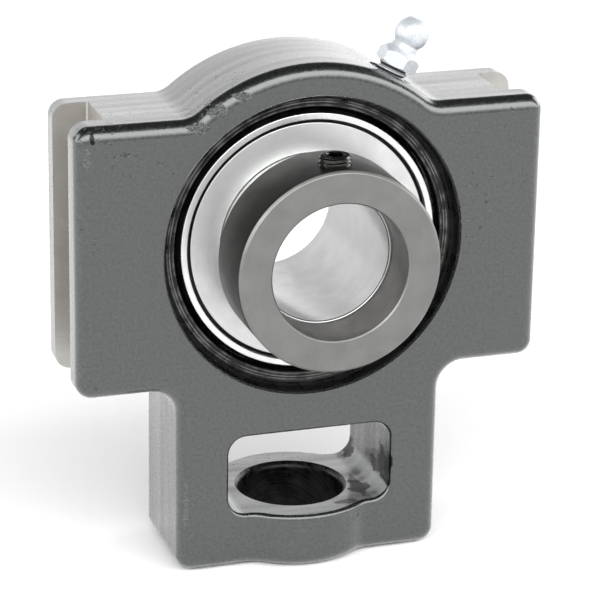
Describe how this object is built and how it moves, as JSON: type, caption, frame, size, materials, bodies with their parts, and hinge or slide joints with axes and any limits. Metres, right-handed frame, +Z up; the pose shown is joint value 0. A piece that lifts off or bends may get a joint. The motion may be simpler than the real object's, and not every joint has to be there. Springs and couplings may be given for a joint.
{
  "type": "take up bearing unit",
  "caption": "Take up bearing unit: a grooved cast housing with a window and a screw boss in its tail, and a self aligning insert bearing with an eccentric locking collar and a grease fitting.",
  "frame": {"origin": "bearing centre, on the shaft's axis in the housing's middle plane", "axes": "Y along the shaft with the locking collar at -Y, Z up from the tail to the head, X across the two guide grooves"},
  "size_m": [0.0894, 0.0445, 0.103],
  "materials": {
    "casting": "grey casting paint, with bare machined grooves and seat",
    "ground_steel": "ground bearing steel",
    "collar_steel": "black oxide, turned",
    "screw_steel": "black oxide",
    "pressed_steel": "fine circular brushing",
    "seal_rubber": "matt nitrile rubber",
    "cage_nylon": "moulded nylon",
    "zinc": "bright zinc plate"
  },
  "bodies": {
    "housing": {"housing": "casting", "grease_fitting": "zinc", "fitting_spring": "pressed_steel"},
    "insert": {"outer_ring": "ground_steel", "front_seal_shroud": "pressed_steel", "rear_seal_shroud": "pressed_steel", "front_seal_lip": "seal_rubber", "rear_seal_lip": "seal_rubber"},
    "inner": {"inner_ring": "ground_steel"},
    "cage": {"cage": "cage_nylon"},
    "collar": {"locking_collar": "collar_steel"},
    "set_screw": {"set_screw": "screw_steel"},
    "check_ball": {"fitting_check_ball": "ground_steel"},
    "ball_1": {"ball_1": "ground_steel"},
    "ball_2": {"ball_2": "ground_steel"},
    "ball_3": {"ball_3": "ground_steel"},
    "ball_4": {"ball_4": "ground_steel"},
    "ball_5": {"ball_5": "ground_steel"},
    "ball_6": {"ball_6": "ground_steel"},
    "ball_7": {"ball_7": "ground_steel"},
    "ball_8": {"ball_8": "ground_steel"},
    "ball_9": {"ball_9": "ground_steel"}
  },
  "joints": [
    {"name": "self_align", "type": "hinge", "parent": "housing", "child": "insert", "pos_m": [0, 0, 0], "axis": [1, 0, 0], "range_deg": [-5, 5]},
    {"name": "shaft_spin", "type": "hinge", "parent": "insert", "child": "inner", "pos_m": [0, 0, 0], "axis": [0, 1, 0], "continuous": true},
    {"name": "cage_spin", "type": "hinge", "parent": "insert", "child": "cage", "pos_m": [0, 0, 0], "axis": [0, 1, 0], "continuous": true},
    {"name": "collar_turn", "type": "hinge", "parent": "inner", "child": "collar", "pos_m": [0, 0, -0.0008], "axis": [0, 1, 0], "range_deg": [-48, 48]},
    {"name": "set_screw_feed", "type": "slide", "parent": "collar", "child": "set_screw", "axis": [0, 0, -1], "range_m": [-0.002, 0.0018]},
    {"name": "check_ball_lift", "type": "slide", "parent": "housing", "child": "check_ball", "axis": [-0.4848, 0, -0.8746], "range_m": [0, 0.0008], "stiffness_N_per_m": 400, "deforming": ["fitting_spring"]},
    {"name": "ball_1_roll", "type": "hinge", "parent": "cage", "child": "ball_1", "pos_m": [0, 0, 0.01925], "axis": [0, 1, 0], "continuous": true},
    {"name": "ball_2_roll", "type": "hinge", "parent": "cage", "child": "ball_2", "pos_m": [0.01237, 0, 0.01475], "axis": [0, 1, 0], "continuous": true},
    {"name": "ball_3_roll", "type": "hinge", "parent": "cage", "child": "ball_3", "pos_m": [0.01896, 0, 0.00334], "axis": [0, 1, 0], "continuous": true},
    {"name": "ball_4_roll", "type": "hinge", "parent": "cage", "child": "ball_4", "pos_m": [0.01667, 0, -0.00962], "axis": [0, 1, 0], "continuous": true},
    {"name": "ball_5_roll", "type": "hinge", "parent": "cage", "child": "ball_5", "pos_m": [0.00658, 0, -0.01809], "axis": [0, 1, 0], "continuous": true},
    {"name": "ball_6_roll", "type": "hinge", "parent": "cage", "child": "ball_6", "pos_m": [-0.00658, 0, -0.01809], "axis": [0, 1, 0], "continuous": true},
    {"name": "ball_7_roll", "type": "hinge", "parent": "cage", "child": "ball_7", "pos_m": [-0.01667, 0, -0.00962], "axis": [0, 1, 0], "continuous": true},
    {"name": "ball_8_roll", "type": "hinge", "parent": "cage", "child": "ball_8", "pos_m": [-0.01896, 0, 0.00334], "axis": [0, 1, 0], "continuous": true},
    {"name": "ball_9_roll", "type": "hinge", "parent": "cage", "child": "ball_9", "pos_m": [-0.01237, 0, 0.01475], "axis": [0, 1, 0], "continuous": true}
  ],
  "couplings": [
    {"joint": "cage_spin", "follows": "shaft_spin", "ratio": 0.39691},
    {"joint": "ball_1_roll", "follows": "shaft_spin", "ratio": -2.322},
    {"joint": "ball_2_roll", "follows": "shaft_spin", "ratio": -2.322},
    {"joint": "ball_3_roll", "follows": "shaft_spin", "ratio": -2.322},
    {"joint": "ball_4_roll", "follows": "shaft_spin", "ratio": -2.322},
    {"joint": "ball_5_roll", "follows": "shaft_spin", "ratio": -2.322},
    {"joint": "ball_6_roll", "follows": "shaft_spin", "ratio": -2.322},
    {"joint": "ball_7_roll", "follows": "shaft_spin", "ratio": -2.322},
    {"joint": "ball_8_roll", "follows": "shaft_spin", "ratio": -2.322},
    {"joint": "ball_9_roll", "follows": "shaft_spin", "ratio": -2.322}
  ]
}
